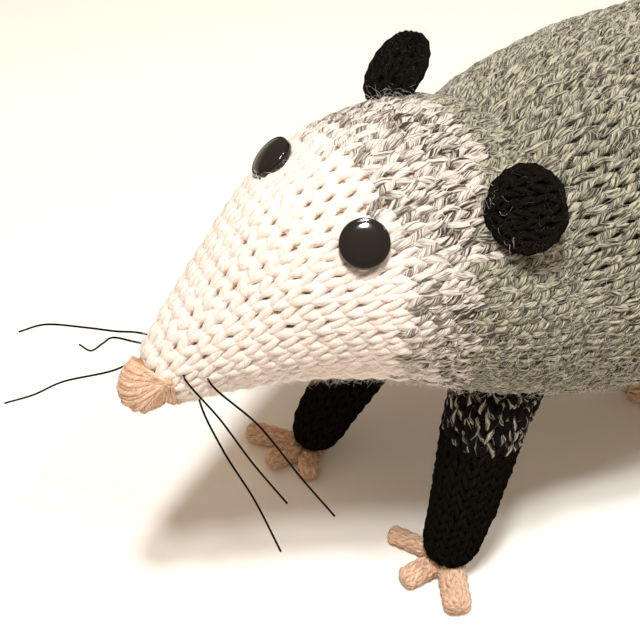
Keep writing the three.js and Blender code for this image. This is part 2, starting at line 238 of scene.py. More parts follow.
PART_MOST, AROUND_MOST = 1.1, 1.2     # how far faces that close a loop or a ring can reach
CORE_DEPTH = 2.8             # the stuffing's surface under the outside of the fabric
CORE_RING_MM = 3.0           # what the Yarn map counts for one ring of that surface
SEED = 20


def even_stations(skin, start, end, height):
    """Stations from start to end, one round of knitting apart along the fabric."""
    fine = np.linspace(start, end, 400)
    turns = np.arange(0, 360, 30)
    points = np.stack([skin(fine, np.full_like(fine, turn)) for turn in turns])
    steps = np.linalg.norm(np.diff(points, axis=1), axis=-1).mean(axis=0)
    length = np.concatenate([[0], np.cumsum(steps)])
    rounds = max(1, round(length[-1] / height))
    return np.interp((np.arange(rounds) + 0.5) * length[-1] / rounds, length, fine)


def girth(skin, along):
    turns = np.arange(0, 360, 10.0)
    loop = skin(np.full_like(turns, along), turns)
    return np.linalg.norm(loop - np.roll(loop, 1, axis=0), axis=-1).sum()


def straight(station, turn):
    return 0.0 * turn


def knit_rounds(skin, stations, yarns, width=STITCH_WIDTH, thickness=YARN_RADIUS, depth=LOOP_DEPTH,
                seed=SEED, slant=straight, twist=straight):
    """Rounds of stocking stitch on a tube-like skin, each a closed path of looped yarn."""
    chance = np.random.default_rng(seed)
    rounds = []
    spacing = np.gradient(stations) if len(stations) > 1 else np.array([width])
    for number, station in enumerate(stations):
        count = max(4, 2 * round(girth(skin, station) / width / 2))
        radius, sunk = (value(station) if callable(value) else value for value in (thickness, depth))
        t = np.tile(np.arange(LOOP_POINTS) / LOOP_POINTS * 2 * np.pi, count)
        stitch = np.repeat(np.arange(count), LOOP_POINTS)
        stray = chance.normal(0, 1, (5, count))[:, stitch]
        lean, aside, reach, up, out = (much * each for much, each in zip(LOOP_UNEVEN, stray))
        across = t / (2 * np.pi) - 0.5 + (LOOP_LEAN + lean) * np.sin(2 * t)
        turn = (stitch + across + aside) * 360 / count + twist(station, 0.0)
        reach = (LOOP_REACH + reach) * np.cos(t)
        pace = spacing[number] * (slant(station + 1, turn) + 1 - slant(station, turn))
        along = station + slant(station, turn) - pace * (reach + up)
        below = radius + sunk + sunk * np.cos(2 * t) + out
        turn %= 360
        place = skin(along, turn) - outward(skin, along, turn) * below[:, None]
        size = radius * (LOOP_FULL - LOOP_PINCH * np.cos(t) ** 2) * (1 + 2 * aside)
        turns = (np.arange(count) * 360 / count + twist(station, 0.0)) % 360
        rounds.append(dict(place=place, size=size, count=count, number=number, stitch=stitch,
                           turn=turns[stitch], home=(station + slant(station, turns))[stitch],
                           yarn=yarns(station, turns, chance)[stitch]))
    return rounds


def new_tree(name, inputs, output):
    """A geometry node tree with named inputs and one output, and the outputs of its input node."""
    tree = bpy.data.node_groups.new(name, "GeometryNodeTree")
    for socket, kind, value in inputs:
        made = tree.interface.new_socket(socket, in_out="INPUT", socket_type="NodeSocket" + kind)
        if value is not None:
            made.default_value = value
    tree.interface.new_socket(output, in_out="OUTPUT", socket_type="NodeSocketGeometry")
    return tree, add_node(tree, "NodeGroupInput").outputs


def finish_tree(tree, geometry, material, output):
    """Realized, smooth and in its material, the geometry is what the tree gives."""
    real = add_node(tree, "GeometryNodeRealizeInstances", [("Geometry", geometry)])
    smooth = add_node(tree, "GeometryNodeSetShadeSmooth", [("Geometry", real.outputs["Geometry"])])
    coat = add_node(tree, "GeometryNodeSetMaterial",
                    [("Geometry", smooth.outputs["Geometry"]), ("Material", material)])
    add_node(tree, "NodeGroupOutput", [(output, coat.outputs["Geometry"])])
    return tree


def stored(tree, name, geometry, value, **settings):
    """The geometry with a value kept on its points under a name."""
    node = add_node(tree, "GeometryNodeStoreNamedAttribute", [("Geometry", geometry), ("Value", value)],
                    in_Name=name, **settings)
    return node.outputs["Geometry"]


def sweep_tree():
    """Geometry nodes that sweep a strand along the edges of a mesh."""
    tree, given = new_tree("swept_strand", [
        ("Paths", "Geometry", None), ("Sides", "Int", YARN_SIDES), ("Strand", "Material", None)], "Strands")
    curve = add_node(tree, "GeometryNodeMeshToCurve", [("Mesh", given["Paths"])])
    size = add_node(tree, "GeometryNodeInputNamedAttribute", in_Name="size")
    circle = add_node(tree, "GeometryNodeCurvePrimitiveCircle", [("Resolution", given["Sides"])],
                      in_Radius=1.0)
    where = add_node(tree, "GeometryNodeSplineParameter")
    around = stored(tree, "around", circle.outputs["Curve"], where.outputs["Factor"])
    swept = add_node(tree, "GeometryNodeCurveToMesh",
                     [("Curve", curve.outputs["Curve"]), ("Profile Curve", around),
                      ("Scale", size.outputs["Attribute"])], in_Fill_Caps=True)
    return finish_tree(tree, swept.outputs["Mesh"], given["Strand"], "Strands")


swept_strand = sweep_tree()


def through_tree(name, mesh, tree, **inputs):
    """The plain mesh that a node tree makes of a mesh."""
    holder = new_object(name, mesh)
    modifier = holder.modifiers.new("nodes", "NODES")
    modifier.node_group = tree
    for item in tree.interface.items_tree:
        if item.item_type == "SOCKET" and item.in_out == "INPUT" and item.name in inputs:
            modifier[item.identifier] = inputs[item.name]
    bpy.context.view_layer.update()
    graph = bpy.context.evaluated_depsgraph_get()
    made = bpy.data.meshes.new_from_object(holder.evaluated_get(graph), depsgraph=graph)
    bpy.data.objects.remove(holder)
    bpy.data.meshes.remove(mesh)
    made.name = name
    return made


STRAND_NUMBERS = ("size", "around", "distance", "lap", "root_u", "root_v", "patch_u", "patch_v", "part",
                  "yarn", "shade")


def drop_attributes(mesh):
    """Takes away the numbers that only the sweep and the maps need."""
    for name in [a.name for a in mesh.attributes if a.name in STRAND_NUMBERS]:
        mesh.attributes.remove(mesh.attributes[name])


def path_mesh(name, strands):
    """Edges through the points of each strand, with its numbers as attributes."""
    places = placed(np.concatenate([strand["place"] for strand in strands]))
    edges, start = [], 0
    for strand in strands:
        points = len(strand["place"])
        index = start + np.arange(points)
        edge = np.stack([index, np.roll(index, -1)], -1)
        edges.append(edge if strand["closed"] else edge[:-1])
        start += points
    edges = np.concatenate(edges)
    mesh = bpy.data.meshes.new(name)
    mesh.vertices.add(len(places))
    mesh.vertices.foreach_set("co", places.ravel())
    mesh.edges.add(len(edges))
    mesh.edges.foreach_set("vertices", edges.ravel())
    for key in strands[0]:
        if key not in ("place", "closed"):
            values = np.concatenate([np.broadcast_to(strand[key], len(strand["place"]))
                                     for strand in strands]).astype(np.float32)
            mesh.attributes.new(key, "FLOAT", "POINT").data.foreach_set("value", values)
    return mesh


def at_corners(mesh, *names):
    """Which point each corner of the faces is, and the named numbers of those points."""
    corners = np.empty(len(mesh.loops), np.int32)
    mesh.loops.foreach_get("vertex_index", corners)
    found = [corners]
    for name in names:
        data = mesh.attributes[name].data
        values = np.empty(len(data), np.float32)
        data.foreach_get("value", values)
        found.append(values[corners])
    return found


def add_map(mesh, name, u, v):
    layer = mesh.uv_layers.new(name=name)
    layer.data.foreach_set("uv", np.stack([u, v], -1).astype(np.float32).ravel())


def write_maps(mesh):
    """The Yarn map, millimetres along and turns around each strand, and the bake map."""
    _, around, distance, lap, part, yarn, *patch = at_corners(
        mesh, "around", "distance", "lap", "part", "yarn", "root_u", "root_v", "patch_u", "patch_v")
    sides = np.empty(len(mesh.polygons), np.int32)
    mesh.polygons.foreach_get("loop_total", sides)
    first = np.concatenate([[0], np.cumsum(sides)[:-1]])
    face = np.repeat(np.arange(len(sides)), sides)
    root_u, root_v, wide, tall = (values[first][face] for values in patch)

    def unwrapped(value, whole):
        high = np.maximum.reduceat(value, first)[face]
        return value + np.where(high - value > whole / 2, whole, 0)

    around, part = unwrapped(around, 1.0), unwrapped(part, 1.0)
    add_map(mesh, "Yarn", unwrapped(distance, lap), around)
    add_map(mesh, "OFBake", root_u + wide * np.clip(part, 0, PART_MOST) / PART_MOST,
            root_v + tall * np.clip(around, 0, AROUND_MOST) / AROUND_MOST)
    drop_attributes(mesh)
    return np.rint(yarn[first]).astype(np.int32)


def wear(mesh, materials, numbers):
    """Gives a mesh its materials and says which of them each face has."""
    mesh.materials.clear()
    for material in materials:
        mesh.materials.append(material)
    mesh.polygons.foreach_set("material_index", np.broadcast_to(numbers, len(mesh.polygons)).astype(np.int32))


def strands_of(rounds, low, high):
    """The stitches between two stations, as strands with what the sweep and the maps need."""
    strands, step_length = [], YARN_IN_STITCH * STITCH_WIDTH / LOOP_POINTS
    kept = [r for r in rounds if ((r["home"] >= low) & (r["home"] < high)).any()]
    first, tall = kept[0]["number"], 1 / len(kept)
    for r in kept:
        inside = (r["home"] >= low) & (r["home"] < high)
        whole = bool(inside.all())
        if whole:
            runs = [np.arange(len(inside))]
        else:
            starts = np.flatnonzero(inside & ~np.roll(inside, 1))
            ends = np.flatnonzero(inside & ~np.roll(inside, -1)) + 1
            if ends[0] <= starts[0]:
                ends = np.append(ends[1:], ends[0] + len(inside))
            runs = [np.arange(a, b) % len(inside) for a, b in zip(starts, ends)]
        for run in runs:
            strands.append(dict(
                closed=whole, place=r["place"][run], size=r["size"][run] * MM,
                lap=len(run) * step_length if whole else OPEN_LAP,
                distance=np.arange(len(run)) * step_length + r["number"] * YARN_MOVES_ON,
                part=(run % LOOP_POINTS) / LOOP_POINTS,
                root_u=r["turn"][run] / 360 * MAP_SHARE + MAP_EDGE,
                root_v=(r["number"] - first) * tall * MAP_SHARE + MAP_EDGE,
                patch_u=PATCH_WIDE / r["count"], patch_v=PATCH_TALL * tall, yarn=r["yarn"][run]))
    return strands


def ringed_mesh(name, points, sides):
    """A closed smooth mesh over rings of points; its last two points are the middles of its ends."""
    last = len(points) - 2 - sides
    around = [(i, (i + 1) % sides) for i in range(sides)]
    faces = [(ring + i, ring + sides + i, ring + sides + j, ring + j)
             for ring in range(0, last, sides) for i, j in around]
    for i, j in around:
        faces += [(last + sides, i, j), (last + sides + 1, last + j, last + i)]
    mesh = bpy.data.meshes.new(name)
    mesh.from_pydata([tuple(p) for p in placed(points)], [], faces)
    mesh.shade_smooth()
    return mesh


def core_mesh(skin, start, end, depth, sides=48, rings=14):
    """The closed surface of the stuffing between two stations."""
    along = np.repeat(np.linspace(start, end, rings), sides)
    turn = np.tile(np.arange(sides) * 360 / sides, rings)
    points = skin(along, turn) - outward(skin, along, turn) * depth
    ends = [points[:sides].mean(axis=0), points[-sides:].mean(axis=0)]
    mesh = ringed_mesh("core", np.concatenate([points, ends]), sides)
    place = np.append(np.arange(rings * sides), [0, (rings - 1) * sides])
    ring, side = place // sides, place % sides / sides
    for key, values in (("root_u", side), ("root_v", ring / rings)):
        mesh.attributes.new(key, "FLOAT", "POINT").data.foreach_set("value", values.astype(np.float32))
    corners, = at_corners(mesh)
    add_map(mesh, "Yarn", (ring * CORE_RING_MM)[corners], side[corners])
    add_map(mesh, "OFBake", side[corners], (ring / rings)[corners])
    return mesh


def join_pieces(name, pieces):
    """Makes one piece of one or several."""
    if len(pieces) > 1:
        with bpy.context.temp_override(active_object=pieces[0], object=pieces[0], selected_objects=pieces,
                                       selected_editable_objects=pieces):
            bpy.ops.object.join()
    pieces[0].name = name
    return pieces[0]


def join_meshes(name, meshes):
    """One piece of several meshes with the same materials, keeping their maps."""
    piece = join_pieces(name, [new_object(name, part) for part in meshes])
    piece.data.name = name
    return piece


def stuffed(name, strands, core, materials, core_material, sides):
    """A piece of swept strands over its stuffing."""
    made = through_tree(name, path_mesh(name, strands), swept_strand, Sides=sides, Strand=materials[0])
    wear(made, materials, write_maps(made))
    wear(core, materials, core_material)
    return join_meshes(name, [made, core])


def knitted(name, skin, rounds, core_from, core_to, materials, core_material,
            core_depth=CORE_DEPTH, sides=YARN_SIDES, low=-1000, high=1000):
    """A knitted and stuffed piece, with the rounds between two stations."""
    core = core_mesh(skin, core_from, core_to, core_depth)
    return stuffed(name, strands_of(rounds, low, high), core, materials, core_material, sides)


def reckon(tree, operation, *values):
    """The output of a math node over other outputs and numbers."""
    node = add_node(tree, "ShaderNodeMath", operation=operation)
    for socket, value in zip(node.inputs, values):
        if isinstance(value, (int, float)):
            socket.default_value = value
        else:
            tree.links.new(socket, value)
    return node.outputs[0]


def yarn_place(tree):
    """The two numbers of the Yarn map."""
    uv = add_node(tree, "ShaderNodeUVMap", uv_map="Yarn")
    place = add_node(tree, "ShaderNodeSeparateXYZ", [("Vector", uv.outputs["UV"])])
    return place.outputs["X"], place.outputs["Y"]


def mixture(tree, share, dark, light):
    """A colour between two, light where the share is 1."""
    return add_node(tree, "ShaderNodeMix", [(0, share)], data_type="RGBA", in_6=linear(dark),
                    in_7=linear(light)).outputs[2]


LAY_VARIES, LAY_CHANGES = 1.6, 0.11     # how unevenly the plies twist, in turns, and changes a millimetre
FIBRE_SPREAD = 0.16                     # the fibre noise is all light or dark this far from its middle
FIBRES_FINE = 2.5                       # streaks across the yarn, against the noise's own size


def wool(name, light, dark, plies=2, pitch=7.5, split=0.0, lean_to=0.0, flecks=0.35, fleck_long=3.5,
         groove=0.25, sheen=0.1, shine=0.2):
    """Wool yarn: plies of two colours twisted together, streaked with fibres along them.

    pitch, fleck_long and groove are the twist's length, the streaks' length and the depth between the
    plies, in millimetres. With split 1 each ply shows one colour; with 0 they blend fibre by fibre.
    """
    material = new_material(name)
    tree = material.node_tree
    along, around = yarn_place(tree)
    uneven = add_node(tree, "ShaderNodeTexNoise", [("W", reckon(tree, "MULTIPLY", along, LAY_CHANGES))],
                      noise_dimensions="1D", in_Scale=1.0, in_Detail=1.0)
    lay = reckon(tree, "DIVIDE", along, pitch)
    lay = reckon(tree, "MULTIPLY_ADD", uneven.outputs["Fac"], LAY_VARIES, lay)
    angle = reckon(tree, "MULTIPLY", reckon(tree, "ADD", lay, around), 2 * math.pi)
    cosine, sine = reckon(tree, "COSINE", angle), reckon(tree, "SINE", angle)
    stretch = reckon(tree, "DIVIDE", along, FIBRES_FINE * fleck_long)
    fibre_place = add_node(tree, "ShaderNodeCombineXYZ", [("X", stretch), ("Y", cosine), ("Z", sine)])
    fibres = add_node(tree, "ShaderNodeTexNoise", [("Vector", fibre_place.outputs[0])],
                      in_Scale=FIBRES_FINE, in_Detail=3.0, in_Roughness=0.6)
    ply = reckon(tree, "COSINE", reckon(tree, "MULTIPLY", angle, plies))
    height = reckon(tree, "MULTIPLY_ADD", ply, 0.5, fibres.outputs["Fac"])
    side = reckon(tree, "MULTIPLY_ADD", sine, split, lean_to)
    streak = add_node(tree, "ShaderNodeMapRange", [("Value", fibres.outputs["Fac"])],
                      in_1=0.5 - FIBRE_SPREAD, in_2=0.5 + FIBRE_SPREAD, in_3=-flecks, in_4=flecks)
    mixed = add_node(tree, "ShaderNodeMapRange", [("Value", reckon(tree, "ADD", side, streak.outputs[0]))],
                     in_1=-0.5, in_2=0.5, in_3=0.0, in_4=1.0)
    bump = add_node(tree, "ShaderNodeBump", [("Height", height)], in_Strength=0.8, in_Distance=groove * MM)
    cover(tree, [("Base Color", mixture(tree, mixed.outputs[0], dark, light)), ("Normal", bump.outputs[0])],
          in_Roughness=0.92, in_Sheen_Weight=sheen, in_Sheen_Roughness=0.5, in_Specular_IOR_Level=shine)
    return material


# Cream worsted for the face, a strand each of cream and grey held together behind the eyes, and
# heathered grey, cream and charcoal fibres carded together, for the body.
cream = wool("cream_wool", "#f2eae3", "#dccbbc", pitch=8.0, flecks=0.4, groove=0.18, sheen=0.12, shine=0.08)
white_marl = wool("mostly_cream_marl", "#dfd6cb", "#5d564b", plies=1, pitch=8.5, split=0.42, lean_to=0.12,
                  flecks=0.85, fleck_long=2.6, sheen=0.1)
marl = wool("cream_and_grey_wool", "#d8cec2", "#38332a", plies=1, pitch=8.5, split=0.42, lean_to=0.02,
            flecks=0.95, fleck_long=2.4, sheen=0.08)
heather = wool("grey_heather_wool", "#bab59e", "#302d24", pitch=6.0, split=0.1, lean_to=-0.08,
               flecks=0.75, fleck_long=1.4, groove=0.35, sheen=0.12)
# the loose fibre filling is dull all over, and its colours are painted light and shade in the holes: warm tan
# under cream wool for the shade there and the light that comes through the wool, dark under grey for the
# deeper shade
stuffing_painted_warm_shade = plain("stuffing_painted_shade_under_cream", "#dcbc9c", 1.0)
stuffing_painted_dark_shade = plain("stuffing_painted_shade_under_grey", "#2e2c25", 1.0)
BODY_YARNS = [cream, white_marl, marl, heather, stuffing_painted_warm_shade, stuffing_painted_dark_shade]
FACE_END, MARL_END = -0.5, 28.0         # stations on the top of the head
LOWER_FACE, LOWER_MARL = 19.0, 26.5     # low on the cheeks they lie so much nearer the nose
FACE_DROPS, MARL_DROPS = (30, 62), (12, 78)   # degrees from the top where that begins, and over how many
COLOURS_MIX = 1.3                       # millimetres that single stitches stray over a change


def body_yarns(station, turns, chance):
    """The yarn of each stitch of a round: 0 cream, 1 and 2 the marls, 3 heather."""
    down = np.abs((turns + 90) % 360 - 180)      # degrees from the top of the head
    face_end = FACE_END - LOWER_FACE * np.clip((down - FACE_DROPS[0]) / FACE_DROPS[1], 0, 1) ** 2
    marl_end = MARL_END - LOWER_MARL * np.clip((down - MARL_DROPS[0]) / MARL_DROPS[1], 0, 1)
    place = station + COLOURS_MIX * chance.normal(0, 1, len(turns))
    return 1.0 * (place > face_end) + (place > (face_end + marl_end) / 2) + (place > marl_end)


BODY_ROUND_HEIGHT = 6.4      # behind the nape the knitting is stretched a little longer
SLANT = 0.3                  # and its rounds swing round to the left side, millimetres a millimetre
TWIST = 0.35                 # while its columns turn down that side, degrees a millimetre
SETS_IN, DIES_OUT = 60, 90   # millimetres over which that begins behind the nape and ends at the rump
FACE_YARN, BODY_YARN = 1.5, 1.4
FACE_DEPTH, BODY_DEPTH = 0.5, 0.8
BODY_CUTS = [-69, -34, 36, 92.15, 166, 238]
NOSE_COVERS = 2.6            # the first round of the snout lies this far under the nose's stitches


def smooth_step(value):
    share = np.clip(value, 0, 1)
    return share * share * (3 - 2 * share)


def body_slant(station, turn):
    swing = (SLANT * smooth_step((station - CREASE_Y) / SETS_IN)
             * smooth_step((BODY_CUTS[-1] - station) / DIES_OUT))
    return -swing * smooth_column(station, 3) * np.cos(np.radians(turn))


def body_twist(station, turn):
    behind = max(station - CREASE_Y, 0)
    return -TWIST * behind * min(behind / SETS_IN, 1)


def body_yarn_radius(station):
    return FACE_YARN + (BODY_YARN - FACE_YARN) * float(smooth_step((station - 5) / 20))


def body_loop_depth(station):
    return FACE_DEPTH + (BODY_DEPTH - FACE_DEPTH) * float(smooth_step((station - 30) / 30))


stations = np.concatenate([
    even_stations(body_skin, BODY_CUTS[0] + NOSE_COVERS, CREASE_Y, ROUND_HEIGHT),
    even_stations(body_skin, CREASE_Y, BODY_CUTS[-1], BODY_ROUND_HEIGHT)])
body_rounds = knit_rounds(body_skin, stations, body_yarns, thickness=body_yarn_radius,
                          depth=body_loop_depth, slant=body_slant, twist=body_twist)
# the last number of each is its stuffing, coloured with painted shade: warm tan under the cream wool, dark
# under the grey
BODY_PIECES = [("snout", "cream_yarn", 4), ("head", "cream_yarn", 4), ("shoulders", "grey_yarn", 5),
               ("middle", "grey_yarn", 5), ("rump", "grey_yarn", 5)]
for number, (node, slot, core_index) in enumerate(BODY_PIECES):
    low, high = BODY_CUTS[number], BODY_CUTS[number + 1]
    piece = knitted("knitted_" + node, body_skin, body_rounds, low + 0.5, high - 0.5, BODY_YARNS,
                    core_index, low=low, high=high)
    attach(piece, "root")
    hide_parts(node)


# The legs: tubes of black wool knitted up from the foot, their last rounds in black and grey
# held together, stuffed and sewn to the belly and flanks.
def smooth_path(points, samples=60):
    """Points along the smooth curve through the given ones, and the distance to each."""
    p = np.array(points, float)
    p = np.vstack([2 * p[0] - p[1], p, 2 * p[-1] - p[-2]])
    share = np.linspace(0, 1, samples, endpoint=False)[:, None]
    pieces = []
    for i in range(1, len(p) - 2):
        a, b, c, d = p[i - 1:i + 3]
        before, here, after = (np.sqrt(np.linalg.norm(step)) for step in (b - a, c - b, d - c))
        start = ((b - a) / before - (c - a) / (before + here) + (c - b) / here) * here
        end = ((c - b) / here - (d - b) / (here + after) + (d - c) / after) * here
        pieces.append(curved(share, b, start, c, end))
    line = np.vstack(pieces + [p[-2:-1]])
    distance = np.concatenate([[0], np.cumsum(np.linalg.norm(np.diff(line, axis=0), axis=1))])
    return line, distance


def tube_skin(points, radius_at, side=(1, 0, 0), tip=0.0):
    """A tube along a path: its skin by millimetres along and degrees around, and its length."""
    line, distance = smooth_path(points)
    tangent = np.gradient(line, distance, axis=0)
    tangent /= np.linalg.norm(tangent, axis=1, keepdims=True)
    sides = np.empty_like(tangent)
    current = np.array(side, float)
    for i, along in enumerate(tangent):
        current = current - along * (current @ along)
        current /= np.linalg.norm(current)
        sides[i] = current
    others = np.cross(tangent, sides)

    def skin(along, turn):
        along, turn = np.broadcast_arrays(np.asarray(along, float), np.radians(turn))
        middle, s, o = (np.stack([np.interp(along, distance, column) for column in table.T], -1)
                        for table in (line, sides, others))
        along = np.minimum(along, distance[-1] - tip)
        past = along - np.clip(along, 0, distance[-1])
        way = np.stack([np.interp(along, distance, column) for column in tangent.T], -1)
        radius = radius_at(np.clip(along, 0, distance[-1]), distance[-1])[..., None]
        return (middle + way * past[..., None]
                + radius * (s * np.cos(turn)[..., None] + o * np.sin(turn)[..., None]))

    return skin, distance[-1]


LEG_TOP, LEG_ANKLE, LEG_SOLE = 13.9, 8.6, 5.8
LEG_PATHS = {
    "front_left": [(33.2, 9.3, 0), (33, 9.8, 12), (33.2, 13, 34), (30, 20, 66), (27.5, 27, 84)],
    "front_right": [(-28.5, -8, 0), (-29, -3, 14), (-30, 11, 32), (-29, 31, 60), (-27, 42, 80)],
    "hind_left": [(39.5, 163, 0), (40, 164, 12), (42, 168, 36), (39, 171, 62), (34, 172, 84)],
    "hind_right": [(-39.5, 151.5, 0), (-40, 153, 12), (-42, 159, 36), (-39, 164, 62), (-34, 166, 84)],
}
LEG_START = 5.9               # the leg ends this far above the floor, and its first round above that
FIRST_ROUND = 1.6
SEWN_IN = 3.0                 # how far the last rounds go into the body
LEG_ROUND_HEIGHT = ROUND_HEIGHT * 0.94
LEG_STITCH = dict(width=4.5, thickness=1.1)


def leg_radius(along, length):
    share = 1 - along / length
    close = smooth_step((share - 0.84) / 0.16)
    return LEG_TOP + (LEG_ANKLE - LEG_TOP) * share**1.1 - (LEG_ANKLE - LEG_SOLE) * close


def depth_in_body(points):
    """How far points lie inside the body's skin, in millimetres."""
    ys = np.linspace(BODY[0, 0], BODY[-1, 0], 120)
    turns = np.arange(0, 360, 6.0)
    grid_y, grid_turn = (g.ravel() for g in np.meshgrid(ys, turns, indexing="ij"))
    skin = body_skin(grid_y, grid_turn)
    normal = outward(body_skin, grid_y, grid_turn)
    nearest = np.array([np.argmin(((skin - p) ** 2).sum(axis=1)) for p in points])
    return ((skin[nearest] - points) * normal[nearest]).sum(axis=1)


black = wool("black_wool", "#1a1713", "#0c0a08", pitch=7.0, flecks=0.4, sheen=0.0, shine=0.0)
black_marl = wool("black_and_grey_wool", "#b9b1a2", "#100e0b", plies=1, pitch=7.0, split=1.5, lean_to=-1.42,
                  flecks=0.8, fleck_long=2.5, sheen=0.0, shine=0.05)
stuffing_black = plain("black_stuffing", "#0a0908", 1.0, in_Specular_IOR_Level=0.0)
LEG_YARNS = [black, black_marl, stuffing_black]
MARL_ROUNDS = 3

leg_skins = []
for number, (leg, points) in enumerate(LEG_PATHS.items()):
    skin, length = tube_skin(points, leg_radius)
    leg_skins.append((skin, length))
    stations = even_stations(skin, LEG_START + FIRST_ROUND, length, LEG_ROUND_HEIGHT)
    middles = skin(np.repeat(stations, 4), np.tile([0, 90, 180, 270], len(stations)))
    shallow = depth_in_body(middles).reshape(-1, 4).min(axis=1)
    stations = stations[shallow < SEWN_IN]
    middles = (skin(stations, np.zeros(len(stations))) + skin(stations, np.full(len(stations), 180))) / 2
    marl_from = stations[depth_in_body(middles) < 0][-MARL_ROUNDS] - 0.1

    def leg_yarns(station, turns, chance):
        return np.full(len(turns), 1.0 if station > marl_from else 0.0)

    rounds = knit_rounds(skin, stations, leg_yarns, seed=SEED + 1 + number, **LEG_STITCH)
    piece = knitted("knitted_leg_" + leg, skin, rounds, LEG_START, stations[-1], LEG_YARNS, 2, sides=5)
    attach(piece, "root")
    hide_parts("leg_" + leg)


# The feet: three toes of peach wool to a foot, each a knitted cord closed at its tip and sewn
# side by side under the front edge of the leg, on a small round sole.
PRESSED = 0.4                 # how much lower than its radius a toe's middle lies
TOE_ROOT = 4.0
ON_FLOOR = 0.15               # the wool is pressed flat this far above the floor
TOES = {   # each toe's way in degrees from straight ahead, how far it reaches and its radius
    "front_left": [(-58, 22.5, 3.3), (0, 18.8, 3.9), (66, 21.4, 4.7)],
    "front_right": [(-48, 24, 3.9), (-5, 17, 3.9), (60, 14.5, 3.9)],
    "hind_left": [(-46, 18, 3.7), (-4, 17.5, 3.9), (38, 17, 4.1)],
    "hind_right": [(-50, 18, 4.1), (-6, 17.5, 3.9), (36, 17, 3.7)],
}


peach = wool("peach_wool", "#eecfb5", "#bd9270", pitch=6.5, flecks=0.7, sheen=0.12, shine=0.1)
stuffing_peach = plain("peach_stuffing", "#b98660", 1.0)
PEACH_YARNS = [peach, stuffing_peach]


def one_yarn(station, turns, chance):
    return np.zeros(len(turns))


def on_floor(points):
    return np.stack([points[..., 0], points[..., 1], np.maximum(points[..., 2], ON_FLOOR)], -1)


SOLE_RADIUS, SOLE_HEIGHT = 6.3, 5.6
SOLE_STATIONS = np.array([1.3, 4.2])
TOE_STITCH = dict(width=3.9, thickness=0.95, depth=0.3)
TOE_ROUND_HEIGHT = 3.4
TOE_CORE_DEPTH = 1.0
toe_skins = []
for number, (foot, toes) in enumerate(TOES.items()):
    heel = np.array(LEG_PATHS[foot][0], float)
    parts = []
    for toe, (turn, reach, toe_thick) in enumerate(toes):
        way = np.array([math.sin(math.radians(turn)), -math.cos(math.radians(turn)), 0])
        lift = np.array([0, 0, toe_thick - PRESSED])

        def toe_radius(along, length, thick=toe_thick):
            from_tip = np.clip((length - along) / thick, 0, 1)
            return thick * np.sqrt(np.clip(1 - (1 - from_tip) ** 2, 0.002, 1))

        points = [heel + way * TOE_ROOT + lift, heel + way * (TOE_ROOT + reach) / 2 + lift * 1.05,
                  heel + way * reach + lift * 0.95]
        tube, length = tube_skin(points, toe_radius, side=(way[1], -way[0], 0), tip=0.05)

        def toe_skin(along, turn, tube=tube):
            return on_floor(tube(along, turn))

        toe_skins.append((toe_skin, length))
        stations = even_stations(toe_skin, 0.4, length - 1.6, TOE_ROUND_HEIGHT)
        rounds = knit_rounds(toe_skin, stations, one_yarn, seed=SEED + 10 + number * 3 + toe, **TOE_STITCH)
        parts.append(knitted("toe", toe_skin, rounds, 0.2, length - 0.1, PEACH_YARNS, 0,
                             core_depth=TOE_CORE_DEPTH, sides=5))

    def sole_skin(along, turn):
        along, turn = np.broadcast_arrays(np.asarray(along, float), np.radians(turn))
        share = np.clip((2 * along / SOLE_HEIGHT - 1) / 1.25, -1, 1)
        radius = SOLE_RADIUS * np.sqrt(1 - share**2)
        return on_floor(np.stack([heel[0] + radius * np.cos(turn), heel[1] + radius * np.sin(turn), along],
                                 -1))

    rounds = knit_rounds(sole_skin, SOLE_STATIONS, one_yarn, seed=SEED + 24 + number, **TOE_STITCH)
    parts.append(knitted("sole", sole_skin, rounds, 0.0, SOLE_HEIGHT, PEACH_YARNS, 0,
                         core_depth=TOE_CORE_DEPTH, sides=5))
    piece = join_pieces("knitted_foot_" + foot, parts)
    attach(piece, "root")
    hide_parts("foot_" + foot)


# The tail: one long knitted cord of peach wool, sewn to the rump, that drops to the floor and
# curls round the left hind foot; it narrows towards its tip.
TAIL_POINTS = [
    (0, 231, 77), (0, 243, 69), (4, 255, 50), (15, 264, 27), (33, 265, 9.6), (52, 252, 8.2),
    (68, 226, 7.9), (74, 196, 7.5), (71, 168, 7.1), (58, 146, 6.6), (40, 133, 6.1), (23, 124, 5.7),
    (11, 112, 5.2), (3.5, 97, 4.8),
]
TAIL_ROOT, TAIL_TIP = 9.0, 4.6
TAIL_ENDS = [0, 0.24, 0.43, 0.62, 0.81, 0.985]    # where its lengths end, in shares of the whole
TAIL_ROUND_HEIGHT = 4.4
TAIL_STITCH = dict(width=4.3, thickness=1.08, depth=0.42)


def tail_radius(along, length):
    share = along / length
    end = TAIL_ENDS[-1] * length
    from_tip = np.clip((end - along) / TAIL_TIP, 0.0, 1)
    return (TAIL_ROOT + (TAIL_TIP - TAIL_ROOT) * share) * np.sqrt(np.clip(1 - (1 - from_tip) ** 2, 0.002, 1))


tail_tube, tail_length = tube_skin(TAIL_POINTS, tail_radius)


def tail_skin(along, turn):
    return on_floor(tail_tube(along, turn))


stations = even_stations(tail_skin, 3.0, tail_length * TAIL_ENDS[-1] - 1.8, TAIL_ROUND_HEIGHT)
tail_rounds = knit_rounds(tail_skin, stations, one_yarn, seed=SEED + 30, **TAIL_STITCH)
for number in range(5):
    low, high = TAIL_ENDS[number] * tail_length, TAIL_ENDS[number + 1] * tail_length
    last = number == 4
    piece = knitted(f"knitted_tail_{number + 1}", tail_skin, tail_rounds, low + 0.3,
                    high - (0.1 if last else 0.3), PEACH_YARNS, 0 if last else 1,
                    core_depth=1.3 if last else 2.2, sides=5, low=low, high=high)
    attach(piece, "root")
    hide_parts(f"tail_{number + 1}")


